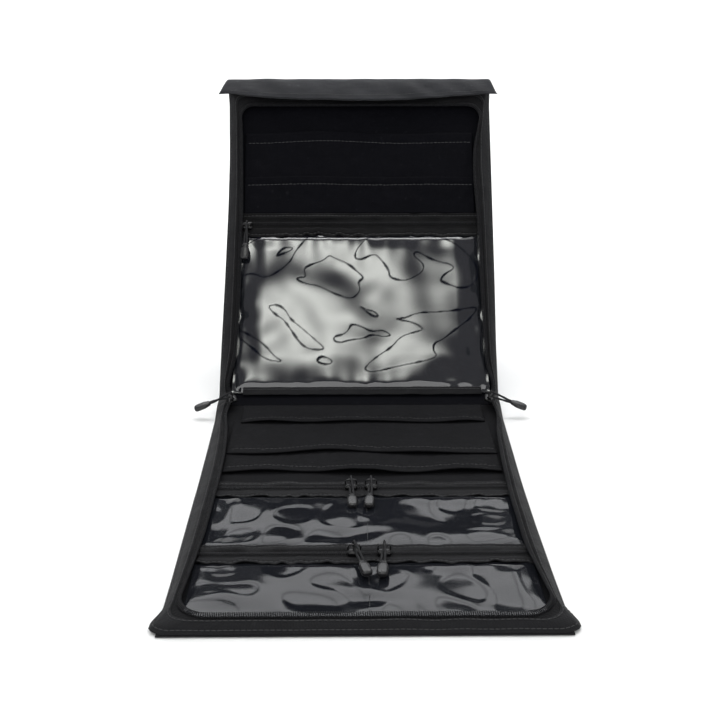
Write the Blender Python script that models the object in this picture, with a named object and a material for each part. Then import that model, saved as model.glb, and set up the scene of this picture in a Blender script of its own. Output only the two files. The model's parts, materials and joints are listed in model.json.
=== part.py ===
"""Hanging toiletry bag, opened out: the lower half lies flat, the upper half leans back on its fold.

Each half is a shallow fabric tray: an outer panel with a board and a lining inside it, three
walls that lean inwards, and one side of the main zip along the walls' free edge.
World axes: +X to the right, +Y towards the back, +Z up. The origin is the middle of the lower
half's underside, on which the bag lies.
Every half has its own frame: x across, v away from its fold line, w up from its outer face.
"""

import bpy
import bmesh
from math import cos, hypot, pi, radians, sin
from mathutils import Matrix, Vector

for old in list(bpy.data.objects):
    bpy.data.objects.remove(old, do_unlink=True)

# The whole bag
BAG_WIDTH = 0.240
PANEL_LENGTH = 0.300
SPINE_WIDTH = 0.036
SPINE_LEAN = radians(12.0)
UPPER_LEAN = radians(55.5)
GAP = 0.0003

# Layers of each half, from the outer face inwards
SHELL = 0.0010
BOARD = 0.0016
LINING = 0.0008
FOLD_AXIS_HEIGHT = SHELL / 2
BOARD_MARGIN = 0.008
LINING_MARGIN = 0.005
FOLD_MARGIN = 0.004

# Walls and main zip
WALL_SPREAD = 0.0062
WALL_SLOPE = 0.80
WALL_THICKNESS = 0.0008
WALL_FOLD_GAP = 0.0125
END_LEAN = {"lower": 0.6, "upper": 2.6}
TAPE_SPREAD = 0.0040
TAPE_THICKNESS = 0.0007
CORNER_RADIUS = 0.0145
COIL_RADIUS = 0.0011
EAR_REACH = 0.0055
EAR_LENGTH = 0.016
GUSSET_SPREAD = 0.0062

# Pieces sewn on the lining
POCKET_MARGIN = 0.0125
FLAP_MARGIN = 0.0155
POCKET_FABRIC = 0.0008
FILM = 0.0006
ZIP_COIL_WIDTH = 0.0024
ZIP_COIL_HEIGHT = 0.0016
BINDING_WIDTH = 0.006
FLAP_LIFT = 0.0038
FOLD_FLAP_LIFT = 0.0030
SLIP_POCKET_LIFT = 0.0006
FOLD_EASE = 0.0008

# Lower half, set out from its outer end towards the fold
FOLD_FLAP_EDGE = 0.020
ZIP_BAND = 0.0215
ZIP_B_FROM_END = 0.0915
ZIP_B_CHAIN = 0.0105
WINDOW_A_HEIGHT = 0.067
ZIP_A_CHAIN = 0.0085
FLAP_2_SHOWS = 0.016
FLAP_1_SHOWS = 0.032
FLAP_OVERLAP = 0.012

# Upper half, set out from its outer end towards the fold
UPPER_WINDOW_FROM_END = 0.155
UPPER_ZIP_CHAIN = 0.0095
UPPER_POCKET_2_SHOWS = 0.0345
UPPER_POCKET_1_SHOWS = 0.043

# Sliders and pulls
SLIDER_LENGTH = 0.0090
SLIDER_WIDTH = 0.0074
SLIDER_HEIGHT = 0.0040
SLIDER_CLEARANCE = 0.0004
BRIDGE_SPAN = 0.0030
BRIDGE_POST = 0.0011
BRIDGE_DEPTH = 0.0015
BAR_HEIGHT = 0.0074
BAR_THICKNESS = 0.0012
CORD_RADIUS = 0.00075
LOOP_RADIUS = 0.0020
CORD_LENGTH = 0.0180
GRIP_LENGTH = 0.0140
GRIP_WIDTH = 0.0064
GRIP_THICKNESS = 0.0044
PULL_DROOP = radians(8.0)
ZIP_A_SLIDERS = {"left": -0.0085, "right": 0.0060}
ZIP_B_SLIDERS = {"left": -0.0065, "right": 0.0127}
ZIP_A_SLANT = {"left": radians(2.0), "right": radians(-4.0)}
ZIP_B_SLANT = {"left": radians(15.0), "right": radians(-4.0)}
UPPER_SLIDER_FROM_SIDE = 0.020
UPPER_PULL_SLANT = radians(-3.0)
MAIN_SLIDER_INSET = 0.013
MAIN_SLIDER_HEIGHT = 0.0086
MAIN_SLIDER_TURN = radians(78.0)
MAIN_SLIDER_TILT = radians(22.5)

# Hanging hook behind the upper half
STRAP_WIDTH = 0.025
STRAP_THICKNESS = 0.0012
STRAP_LENGTH = 0.034
LOOP_PIVOT_FROM_TOP = 0.004
PIN_RADIUS = 0.0016
PIN_CLEARANCE = 0.0005
YOKE_SIDE = 0.003
YOKE_DROP = 0.013
YOKE_BLOCK = 0.006
YOKE_DEPTH = 0.0042
YOKE_EAR = 0.0023
STEM_RADIUS = 0.0018
HOOK_WIRE = 0.0021
HOOK_INNER_RADIUS = 0.0125
HOOK_SHANK = 0.024
HOOK_TIP = 0.008

COLOURS = {
    "nylon": ((0.020, 0.020, 0.022), 0.85, 0.0),
    "lining": ((0.012, 0.012, 0.016), 0.85, 0.0),
    "board": ((0.30, 0.30, 0.30), 0.6, 0.0),
    "tape": ((0.025, 0.025, 0.027), 0.8, 0.0),
    "coil": ((0.045, 0.045, 0.048), 0.4, 0.0),
    "film": ((0.45, 0.44, 0.42), 0.15, 0.0),
    "slider": ((0.015, 0.015, 0.016), 0.3, 1.0),
    "cord": ((0.015, 0.015, 0.016), 0.8, 0.0),
    "grip": ((0.030, 0.030, 0.032), 0.35, 0.0),
    "webbing": ((0.020, 0.020, 0.022), 0.85, 0.0),
    "hook": ((0.020, 0.020, 0.021), 0.4, 0.0),
}


def finish_material(name):
    """The Principled material of one finish, made once."""
    if name in bpy.data.materials:
        return bpy.data.materials[name]
    colour, roughness, metallic = COLOURS[name]
    made = bpy.data.materials.new(name)
    made.use_nodes = True
    shader = made.node_tree.nodes["Principled BSDF"]
    shader.inputs["Base Color"].default_value = (*colour, 1.0)
    shader.inputs["Roughness"].default_value = roughness
    shader.inputs["Metallic"].default_value = metallic
    return made


def guide(name, parent=None, place=(0, 0, 0), turn=(0, 0, 0)):
    """An empty that carries a frame."""
    empty = bpy.data.objects.new(name, None)
    bpy.context.collection.objects.link(empty)
    empty.parent = parent
    empty.location = place
    empty.rotation_euler = turn
    return empty


def piece(name, shape, parent, finish, smooth=False):
    """Turns a bmesh of closed bodies into a named object in its parent's frame."""
    bmesh.ops.recalc_face_normals(shape, faces=shape.faces)
    mesh = bpy.data.meshes.new(name)
    shape.to_mesh(mesh)
    shape.free()
    if smooth:
        mesh.shade_smooth()
        mesh.set_sharp_from_angle(angle=radians(40))
    made = bpy.data.objects.new(name, mesh)
    made.parent = parent
    made.data.materials.append(finish_material(finish))
    bpy.context.collection.objects.link(made)
    return made


def strip(shape, sections):
    """Skins rings of equal length into one body, capped at both ends."""
    rings = [[shape.verts.new(point) for point in section] for section in sections]
    count = len(rings[0])
    for first, second in zip(rings, rings[1:]):
        for i in range(count):
            j = (i + 1) % count
            shape.faces.new((first[i], first[j], second[j], second[i]))
    shape.faces.new(rings[0])
    shape.faces.new(rings[-1][::-1])


def tube(shape, points, radius, sides=8):
    """A round tube along a path, with flat ends."""
    points = [Vector(p) for p in points]
    sections = []
    normal = None
    for i, point in enumerate(points):
        along = (points[min(i + 1, len(points) - 1)] - points[max(i - 1, 0)]).normalized()
        if normal is None:
            normal = along.orthogonal().normalized()
        normal = (normal - along * normal.dot(along)).normalized()
        across = along.cross(normal)
        sections.append([point + radius * (cos(2 * pi * k / sides) * normal + sin(2 * pi * k / sides) * across)
                         for k in range(sides)])
    strip(shape, sections)


def arc(centre_x, centre_y, radius, start, end, steps):
    """Points of a circular arc, angles in degrees."""
    return [(centre_x + radius * cos(radians(start + (end - start) * i / steps)),
             centre_y + radius * sin(radians(start + (end - start) * i / steps))) for i in range(steps + 1)]


def prism(shape, outline, low, high, axis="w"):
    """Extrudes a flat outline: (x, v) along w, (x, w) along v, or (v, w) along x."""
    order = {"w": lambda a, b, c: (a, b, c), "v": lambda a, b, c: (a, c, b), "x": lambda a, b, c: (c, a, b)}[axis]
    strip(shape, [[order(a, b, level) for a, b in outline] for level in (low, high)])


def box(shape, x, v, w):
    """A rectangular body between three pairs of values."""
    prism(shape, [(x[0], v[0]), (x[1], v[0]), (x[1], v[1]), (x[0], v[1])], w[0], w[1])


def unite(target, other, operation="UNION"):
    """Joins one solid to another, or cuts it away, and leaves the other out of the model."""
    other.hide_render = True
    other.display_type = "WIRE"
    change = target.modifiers.new(operation.lower(), "BOOLEAN")
    change.operation = operation
    change.object = other


# Frames: the lower half lies on the ground, the spine leans, the upper half leans more
lower_frame = guide("lower_frame", place=(0, PANEL_LENGTH / 2, FOLD_AXIS_HEIGHT))
spine_frame = guide("spine_frame", place=(0, PANEL_LENGTH / 2, FOLD_AXIS_HEIGHT), turn=(SPINE_LEAN, 0, 0))
upper_frame = guide("upper_frame", spine_frame, (0, SPINE_WIDTH, 0), (UPPER_LEAN - SPINE_LEAN, 0, 0))
FRAMES = {"lower": (lower_frame, -1), "upper": (upper_frame, 1)}
HALF_WIDTH = BAG_WIDTH / 2

# Heights of the layers above the outer face
BOARD_LOW = SHELL + GAP
LINING_LOW = BOARD_LOW + BOARD + GAP
SEWN_LOW = LINING_LOW + LINING + GAP
SEWN_TOP = SEWN_LOW + POCKET_FABRIC
COIL_LOW = SEWN_TOP + GAP
WALL_FOOT = SHELL + GAP + WALL_THICKNESS
TAPE_INSET = WALL_SPREAD + 3 * GAP
TAPE_EDGE = TAPE_INSET + TAPE_SPREAD
COIL_INSET = TAPE_EDGE + GAP + COIL_RADIUS


def fix(half, shape):
    """Moves a shape from (x, v, w) into the half's own object frame."""
    _, sign = FRAMES[half]
    for vertex in shape.verts:
        x, v, w = vertex.co
        vertex.co = (x, sign * v, w - FOLD_AXIS_HEIGHT)
    return shape


def half_piece(half, name, shape, finish, **options):
    """A piece given in the half's (x, v, w)."""
    return piece(half + "_" + name, fix(half, shape), FRAMES[half][0], finish, **options)


def layer(half, name, margin, near, far, low, thickness, finish):
    """A flat layer of the half with small rounded corners."""
    x = HALF_WIDTH - margin
    radius = 0.002
    outline = []
    for sx, sv, start in ((1, 1, 0), (-1, 1, 90), (-1, -1, 180), (1, -1, 270)):
        middle_v = far - radius if sv > 0 else near + radius
        outline += arc(sx * (x - radius), middle_v, radius, start, start + 90, 2)
    shape = bmesh.new()
    prism(shape, outline, low, low + thickness)
    return half_piece(half, name, shape, finish)


def wall_line(inset):
    """Height of the wall's outer surface at a distance inside the bag's edge."""
    return WALL_FOOT + WALL_SLOPE * inset


def u_path(half, inset, radius):
    """The line round three sides of a half at one inset, with rounded corners."""
    x = HALF_WIDTH - inset
    far = PANEL_LENGTH - END_LEAN[half] * min(inset, TAPE_EDGE) - max(0, inset - TAPE_EDGE)
    left = [(-x, WALL_FOLD_GAP + (far - radius - WALL_FOLD_GAP) * i / 4) for i in range(4)]
    turn_left = arc(-x + radius, far - radius, radius, 180, 90, 6)
    turn_right = arc(x - radius, far - radius, radius, 90, 0, 6)
    return left + turn_left + turn_right + [(-a, b) for a, b in reversed(left)]


def build_tray(half):
    """Outer panel, board, lining, walls, corner ears and one side of the main zip."""
    layer(half, "outer_panel", 0, FOLD_EASE, PANEL_LENGTH, 0, SHELL, "nylon")
    layer(half, "stiffener_board", BOARD_MARGIN, FOLD_MARGIN, PANEL_LENGTH - BOARD_MARGIN,
          BOARD_LOW, BOARD, "board")
    lean = END_LEAN[half]
    layer(half, "lining", LINING_MARGIN, FOLD_MARGIN - 0.0005, PANEL_LENGTH - LINING_MARGIN * max(1, lean),
          LINING_LOW, LINING, "lining")

    run = hypot(1, WALL_SLOPE)
    inward, down = WALL_THICKNESS * WALL_SLOPE / run, WALL_THICKNESS / run
    section = [(0, wall_line(0)), (WALL_SPREAD, wall_line(WALL_SPREAD)),
               (WALL_SPREAD + inward, wall_line(WALL_SPREAD) - down), (inward, wall_line(0) - down)]
    for side, sign in (("left", -1), ("right", 1)):
        shape = bmesh.new()
        near = [(sign * (HALF_WIDTH - i), WALL_FOLD_GAP, w) for i, w in section]
        far = [(sign * (HALF_WIDTH - i), PANEL_LENGTH - lean * i - GAP, w) for i, w in section]
        strip(shape, [near, far])
        wall = half_piece(half, side + "_wall", shape, "nylon")
        x = sign * (HALF_WIDTH - inward)
        tip = sign * (HALF_WIDTH + EAR_REACH)
        outline = [(x, PANEL_LENGTH - EAR_LENGTH), (tip, PANEL_LENGTH - EAR_LENGTH / 2),
                   (tip - sign * 0.3 * EAR_REACH, PANEL_LENGTH - 0.002), (x, PANEL_LENGTH - 0.001)]
        shape = bmesh.new()
        prism(shape, outline, WALL_FOOT - down - GAP / 2, WALL_FOOT + WALL_THICKNESS)
        unite(wall, half_piece(half, side + "_ear_guide", shape, "nylon"))
    shape = bmesh.new()
    run = hypot(lean, WALL_SLOPE)
    back, down = WALL_THICKNESS * WALL_SLOPE / run, WALL_THICKNESS * lean / run
    ends = []
    for sign in (-1, 1):
        low, high = ((sign * (HALF_WIDTH - i - GAP), PANEL_LENGTH - lean * i, w) for i, w in section[:2])
        ends.append([low, high] + [(x - sign * inward, v - back, w - down) for x, v, w in (high, low)])
    strip(shape, ends)
    half_piece(half, "end_wall", shape, "nylon")

    outer = u_path(half, TAPE_INSET, CORNER_RADIUS)
    inner = u_path(half, TAPE_EDGE, CORNER_RADIUS - TAPE_SPREAD)
    outer_top, inner_top = wall_line(TAPE_INSET), wall_line(TAPE_EDGE)
    shape = bmesh.new()
    strip(shape, [[(*o, outer_top), (*n, inner_top), (*n, inner_top - TAPE_THICKNESS),
                   (*o, outer_top - TAPE_THICKNESS)] for o, n in zip(outer, inner)])
    half_piece(half, "main_zip_tape", shape, "tape")
    shape = bmesh.new()
    path = u_path(half, COIL_INSET, CORNER_RADIUS - (COIL_INSET - TAPE_INSET))
    tube(shape, [(*p, wall_line(COIL_INSET) - COIL_RADIUS) for p in path], COIL_RADIUS, 6)
    half_piece(half, "main_zip_coil", shape, "coil", smooth=True)


def zip_band(half, name, top, chain):
    """A straight zip across the half: its tape, and the coil that the slider runs on."""
    x = HALF_WIDTH - POCKET_MARGIN
    near, far = sorted((top, top + (ZIP_BAND if half == "lower" else -ZIP_BAND)))
    middle = top + (chain if half == "lower" else -chain)
    shape = bmesh.new()
    box(shape, (-x, x), (near, far), (SEWN_LOW, SEWN_TOP))
    half_piece(half, name + "_tape", shape, "tape")
    shape = bmesh.new()
    r = ZIP_COIL_WIDTH / 2
    outline = [(middle - r, COIL_LOW), (middle + r, COIL_LOW), (middle + 0.7 * r, COIL_LOW + ZIP_COIL_HEIGHT),
               (middle - 0.7 * r, COIL_LOW + ZIP_COIL_HEIGHT)]
    prism(shape, outline, -x, x, "x")
    half_piece(half, name + "_coil", shape, "coil")
    return middle


def film(half, name, near, far):
    """A clear film window between two seams."""
    shape = bmesh.new()
    x = HALF_WIDTH - POCKET_MARGIN
    box(shape, (-x, x), (near + GAP, far - GAP), (SEWN_LOW, SEWN_LOW + FILM))
    return half_piece(half, name, shape, "film")


def flap(half, name, seam, edge, low, lift):
    """A fabric flap sewn along one line, whose free edge stands a little off the lining."""
    x = HALF_WIDTH - FLAP_MARGIN
    shape = bmesh.new()
    prism(shape, [(seam, low), (edge, low + lift), (edge, low + lift + POCKET_FABRIC),
                  (seam, low + POCKET_FABRIC)], -x, x, "x")
    return half_piece(half, name, shape, "lining")


def slider(name, frame):
    """A zip slider: a saddle over the coil, and the bridge that the pull's loop runs under."""
    half_length, half_width = SLIDER_LENGTH / 2, SLIDER_WIDTH / 2
    channel = ZIP_COIL_WIDTH / 2 + SLIDER_CLEARANCE
    roof = GAP + ZIP_COIL_HEIGHT + SLIDER_CLEARANCE
    shape = bmesh.new()
    section = [(-half_width, GAP), (-channel, GAP), (-channel, roof), (channel, roof), (channel, GAP),
               (half_width, GAP), (half_width, SLIDER_HEIGHT - 0.001), (half_width - 0.001, SLIDER_HEIGHT),
               (-half_width + 0.001, SLIDER_HEIGHT), (-half_width, SLIDER_HEIGHT - 0.001)]
    prism(shape, section, -half_length, half_length, "x")
    saddle = piece(name, shape, frame, "slider")

    inner, top = BRIDGE_SPAN, BAR_HEIGHT + BAR_THICKNESS / 2
    outer, foot = inner + BRIDGE_POST, SLIDER_HEIGHT - 0.0006
    shape = bmesh.new()
    profile = [(-outer, foot), (-outer, top - 0.001), (-outer + 0.001, top), (outer - 0.001, top),
               (outer, top - 0.001), (outer, foot), (inner, foot), (inner, top - BAR_THICKNESS),
               (-inner, top - BAR_THICKNESS), (-inner, foot)]
    prism(shape, profile, -BRIDGE_DEPTH / 2, BRIDGE_DEPTH / 2, "v")
    unite(saddle, piece(name + "_bridge_guide", shape, frame, "slider"))


def pull(name, frame, slant=0.0):
    """A cord loop round the slider's bridge and the moulded grip on its end, in one hinged frame."""
    hinge = guide(name + "_hinge", frame, (0, 0, BAR_HEIGHT))
    rake = Matrix.Rotation(slant, 4, "Z") @ Matrix.Rotation(PULL_DROOP, 4, "X")
    spread = CORD_RADIUS + GAP / 2
    end = -CORD_LENGTH
    loop = [(end, spread), (end * 0.62, spread * 1.25), (-LOOP_RADIUS * 1.5, LOOP_RADIUS * 0.93)]
    loop += arc(0, 0, LOOP_RADIUS, 105, -105, 8)
    loop += [(-LOOP_RADIUS * 1.5, -LOOP_RADIUS * 0.93), (end * 0.62, -spread * 1.25), (end, -spread)]
    shape = bmesh.new()
    tube(shape, [(0, v, w) for v, w in loop], CORD_RADIUS, 6)
    shape.transform(rake)
    piece(name + "_cord", shape, hinge, "cord", smooth=True)

    shape = bmesh.new()
    front, back = end - GAP, end - GAP - GRIP_LENGTH
    sections = []
    for v, width, thickness in ((front, 0.62, 0.70), (front - 0.002, 0.85, 0.95), (front - 0.006, 1.0, 1.0),
                                (back + 0.003, 1.0, 1.0), (back + 0.0008, 0.80, 0.80), (back, 0.50, 0.50)):
        a, b = width * GRIP_WIDTH / 2, thickness * GRIP_THICKNESS / 2
        sections.append([(a, v, -0.55 * b), (a, v, 0.55 * b), (0.6 * a, v, b), (-0.6 * a, v, b),
                         (-a, v, 0.55 * b), (-a, v, -0.55 * b), (-0.6 * a, v, -b), (0.6 * a, v, -b)])
    strip(shape, sections)
    shape.transform(rake)
    piece(name + "_grip", shape, hinge, "grip", smooth=True)


def slider_frame(name, half, x, v):
    """The frame of a slider on one of the straight zips."""
    frame, sign = FRAMES[half]
    return guide(name + "_frame", frame, (x, sign * v, SEWN_TOP - FOLD_AXIS_HEIGHT))


build_tray("lower")
build_tray("upper")

# Lower half: two hemmed flaps in a cascade, then two zipped film pockets
ZIP_B_TOP = PANEL_LENGTH - ZIP_B_FROM_END
ZIP_A_TOP = ZIP_B_TOP - WINDOW_A_HEIGHT - ZIP_BAND
FLAP_2_EDGE = ZIP_A_TOP - FLAP_2_SHOWS
FLAP_1_EDGE = FLAP_2_EDGE - FLAP_1_SHOWS
flap("lower", "fold_flap", FOLD_MARGIN, FOLD_FLAP_EDGE, SEWN_TOP + 5 * GAP, FOLD_FLAP_LIFT)
flap("lower", "pocket_flap_1", FOLD_FLAP_EDGE * 0.4, FLAP_1_EDGE, SEWN_LOW + 2 * GAP, FLAP_LIFT)
flap("lower", "pocket_flap_2", FLAP_1_EDGE - FLAP_OVERLAP, FLAP_2_EDGE, SEWN_LOW, FLAP_LIFT)
chain_a = zip_band("lower", "zip_a", ZIP_A_TOP, ZIP_A_CHAIN)
chain_b = zip_band("lower", "zip_b", ZIP_B_TOP, ZIP_B_CHAIN)
film("lower", "window_a", ZIP_A_TOP + ZIP_BAND, ZIP_B_TOP)
film("lower", "window_b", ZIP_B_TOP + ZIP_BAND, PANEL_LENGTH - LINING_MARGIN)
for letter, chain, places, slants in (("a", chain_a, ZIP_A_SLIDERS, ZIP_A_SLANT),
                                      ("b", chain_b, ZIP_B_SLIDERS, ZIP_B_SLANT)):
    for side in ("left", "right"):
        label = "zip_" + letter + "_" + side
        frame = slider_frame(label, "lower", places[side], chain)
        slider(label + "_slider", frame)
        pull(label + "_pull", frame, slants[side])

# Upper half: two slip pockets above one large zipped film pocket
UPPER_WINDOW_TOP = PANEL_LENGTH - UPPER_WINDOW_FROM_END
UPPER_POCKET_FOOT = UPPER_WINDOW_TOP + ZIP_BAND
UPPER_POCKET_2_EDGE = UPPER_POCKET_FOOT + UPPER_POCKET_2_SHOWS
UPPER_POCKET_1_EDGE = UPPER_POCKET_2_EDGE + UPPER_POCKET_1_SHOWS
flap("upper", "slip_pocket_1", UPPER_POCKET_FOOT + GAP, UPPER_POCKET_1_EDGE, SEWN_LOW, SLIP_POCKET_LIFT)
flap("upper", "slip_pocket_2", UPPER_POCKET_FOOT + GAP, UPPER_POCKET_2_EDGE,
     SEWN_TOP + GAP + SLIP_POCKET_LIFT, SLIP_POCKET_LIFT)
chain_u = zip_band("upper", "zip", UPPER_POCKET_FOOT, ZIP_BAND - UPPER_ZIP_CHAIN)
film("upper", "window", FOLD_MARGIN, UPPER_WINDOW_TOP)
shape = bmesh.new()
edge = HALF_WIDTH - POCKET_MARGIN
box(shape, (-edge, edge), (FOLD_MARGIN, FOLD_MARGIN + BINDING_WIDTH),
    (SEWN_LOW + FILM + GAP, SEWN_LOW + FILM + GAP + POCKET_FABRIC))
half_piece("upper", "window_binding", shape, "nylon")
frame = slider_frame("upper_zip", "upper", UPPER_SLIDER_FROM_SIDE - HALF_WIDTH, chain_u)
slider("upper_zip_slider", frame)
pull("upper_zip_pull", frame, UPPER_PULL_SLANT)


def build_spine():
    """The narrow panel between the halves, its lining, and the gussets where the main zip ends."""
    shape = bmesh.new()
    box(shape, (-HALF_WIDTH, HALF_WIDTH), (FOLD_EASE, SPINE_WIDTH - FOLD_EASE), (0, SHELL))
    shape.transform(Matrix.Translation((0, 0, -FOLD_AXIS_HEIGHT)))
    piece("spine_outer_panel", shape, spine_frame, "nylon")
    shape = bmesh.new()
    x = HALF_WIDTH - LINING_MARGIN
    box(shape, (-x, x), (FOLD_MARGIN, SPINE_WIDTH - FOLD_MARGIN), (SHELL + GAP, SHELL + GAP + LINING))
    shape.transform(Matrix.Translation((0, 0, -FOLD_AXIS_HEIGHT)))
    piece("spine_lining", shape, spine_frame, "lining")
    top = wall_line(GUSSET_SPREAD)
    for side, sign in (("left", -1), ("right", 1)):
        shape = bmesh.new()
        sections = []
        for inset, w in ((0, WALL_FOOT), (GUSSET_SPREAD, top)):
            run = w + GAP
            for lift in (0, -WALL_THICKNESS):
                sections.append([(sign * (HALF_WIDTH - inset), v, w + lift) for v in (run, SPINE_WIDTH - run)])
        low_top, low_under, high_top, high_under = sections
        strip(shape, [[low_top[i], high_top[i], high_under[i], low_under[i]] for i in (0, 1)])
        shape.transform(Matrix.Translation((0, 0, -FOLD_AXIS_HEIGHT)))
        piece("spine_" + side + "_gusset", shape, spine_frame, "nylon")


def build_main_sliders():
    """The two sliders of the main zip, parked at the ends of the spine with their pulls outwards."""
    for side, sign in (("left", -1), ("right", 1)):
        frame = guide("main_" + side + "_frame", spine_frame,
                      (sign * (HALF_WIDTH - MAIN_SLIDER_INSET), SPINE_WIDTH / 2, MAIN_SLIDER_HEIGHT),
                      (MAIN_SLIDER_TILT, 0, sign * MAIN_SLIDER_TURN))
        slider("main_" + side + "_slider", frame)
        pull("main_" + side + "_pull", frame)


def build_hook():
    """Webbing loop on the back of the upper half, the yoke that pivots in it, and the turning hook."""
    pivot_v = PANEL_LENGTH - LOOP_PIVOT_FROM_TOP
    hole = PIN_RADIUS + PIN_CLEARANCE
    wrap = hole + STRAP_THICKNESS
    pivot_w = -GAP - wrap
    middle_v = pivot_v - STRAP_LENGTH
    outer = arc(pivot_v, pivot_w, wrap, 90, -90, 8)
    inner = arc(pivot_v, pivot_w, hole, -90, 90, 8)
    root = [(middle_v + 0.020, -GAP - STRAP_THICKNESS), (middle_v, -GAP - STRAP_THICKNESS), (middle_v, -GAP)]
    under = [(pivot_v - 0.006, pivot_w - wrap), (middle_v + 0.018, -GAP - 2 * STRAP_THICKNESS - GAP),
             (middle_v, -GAP - 2 * STRAP_THICKNESS - GAP), (middle_v, -2 * GAP - STRAP_THICKNESS),
             (middle_v + 0.0185, -2 * GAP - STRAP_THICKNESS), (pivot_v - 0.0055, pivot_w - hole)]
    shape = bmesh.new()
    outline = outer + under + inner + root
    prism(shape, outline, -STRAP_WIDTH / 2, STRAP_WIDTH / 2, "x")
    half_piece("upper", "hang_loop", shape, "webbing")

    hang = guide("hook_hang", upper_frame, (0, pivot_v, pivot_w - FOLD_AXIS_HEIGHT), (-UPPER_LEAN, 0, 0))
    half = STRAP_WIDTH / 2 + GAP + 0.0004
    shape = bmesh.new()
    pin = [(-half - YOKE_SIDE / 2, 0, 0), (0, 0, 0), (half + YOKE_SIDE / 2, 0, 0)]
    tube(shape, pin, PIN_RADIUS, 12)
    pin_guide = piece("hook_pin_guide", shape, hang, "hook")
    shape = bmesh.new()
    frame_outline = [(-half - YOKE_SIDE, YOKE_EAR), (-half, YOKE_EAR), (-half, -YOKE_DROP), (half, -YOKE_DROP),
                     (half, YOKE_EAR), (half + YOKE_SIDE, YOKE_EAR), (half + YOKE_SIDE, -YOKE_DROP - YOKE_BLOCK * 0.6),
                     (half - 0.003, -YOKE_DROP - YOKE_BLOCK), (-half + 0.003, -YOKE_DROP - YOKE_BLOCK),
                     (-half - YOKE_SIDE, -YOKE_DROP - YOKE_BLOCK * 0.6)]
    prism(shape, frame_outline, -YOKE_DEPTH / 2, YOKE_DEPTH / 2, "v")
    yoke = piece("hook_yoke", shape, hang, "hook", smooth=True)
    shape = bmesh.new()
    bore = STEM_RADIUS + GAP
    tube(shape, [(0, 0, -YOKE_DROP + 0.001), (0, 0, -YOKE_DROP - YOKE_BLOCK - 0.001)], bore, 16)
    bore_guide = piece("hook_bore_guide", shape, hang, "hook")
    unite(yoke, pin_guide)
    unite(yoke, bore_guide, "DIFFERENCE")

    spin = guide("hook_spin", hang)
    neck = -YOKE_DROP - YOKE_BLOCK
    start = neck - GAP
    shape = bmesh.new()
    tube(shape, [(0, 0, -YOKE_DROP + GAP), (0, 0, start - 0.002)], STEM_RADIUS, 16)
    stem = piece("hook_stem_guide", shape, spin, "hook")
    shape = bmesh.new()
    tube(shape, [(0, 0, -YOKE_DROP + 0.0022), (0, 0, -YOKE_DROP + GAP)], STEM_RADIUS + 0.0012, 16)
    head = piece("hook_head_guide", shape, spin, "hook")
    bend = HOOK_INNER_RADIUS + HOOK_WIRE
    centre = start - HOOK_SHANK
    path = [(0, start), (0, start - 0.003), (bend * 0.55, start - 0.009), (bend, start - 0.017), (bend, centre)]
    path += arc(0, centre, bend, 0, -180, 12)[1:]
    path += [(-bend, centre + HOOK_TIP)]
    shape = bmesh.new()
    tube(shape, [(x, 0, z) for x, z in path], HOOK_WIRE, 10)
    hook = piece("hook", shape, spin, "hook", smooth=True)
    unite(hook, stem)
    unite(hook, head)


build_spine()
build_main_sliders()
build_hook()
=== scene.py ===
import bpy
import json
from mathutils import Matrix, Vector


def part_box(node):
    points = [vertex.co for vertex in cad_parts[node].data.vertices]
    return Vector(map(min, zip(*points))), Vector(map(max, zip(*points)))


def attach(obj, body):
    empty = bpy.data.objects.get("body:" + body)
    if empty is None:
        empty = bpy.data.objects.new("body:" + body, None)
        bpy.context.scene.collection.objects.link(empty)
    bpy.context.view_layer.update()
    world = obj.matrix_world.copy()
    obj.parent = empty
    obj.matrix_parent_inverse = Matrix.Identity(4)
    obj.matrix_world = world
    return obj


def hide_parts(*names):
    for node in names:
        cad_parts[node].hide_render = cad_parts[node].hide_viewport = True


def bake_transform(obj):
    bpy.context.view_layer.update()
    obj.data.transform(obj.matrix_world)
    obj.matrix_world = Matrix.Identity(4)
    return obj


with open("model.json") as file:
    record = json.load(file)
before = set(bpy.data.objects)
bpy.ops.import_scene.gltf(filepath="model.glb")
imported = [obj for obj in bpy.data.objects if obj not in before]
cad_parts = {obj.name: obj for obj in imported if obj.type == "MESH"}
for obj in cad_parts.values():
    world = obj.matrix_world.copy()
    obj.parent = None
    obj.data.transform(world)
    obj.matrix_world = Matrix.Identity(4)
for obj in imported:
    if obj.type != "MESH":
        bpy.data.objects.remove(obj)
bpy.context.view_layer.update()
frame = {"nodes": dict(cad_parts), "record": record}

# Studio: a white sweep, a glowing softbox above the camera, soft lights on the sweep, overhead,
# behind and low in front, a narrow one at each side, and a camera looking down a little.
import json
import random
from math import cos, pi, radians, sin, sqrt

import bpy
import numpy as np
from mathutils import Matrix, Vector

scene = bpy.context.scene
eye = bpy.data.objects.new("camera", bpy.data.cameras.new("camera"))
scene.collection.objects.link(eye)
eye.location = (-0.0086, -0.6673, 0.3675)
eye.rotation_euler = (radians(69.1), 0, radians(-0.55))
eye.data.lens = 53.5
eye.data.sensor_width = 36
eye.data.clip_start = 0.02
scene.camera = eye
scene.view_settings.view_transform = "Standard"


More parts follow.
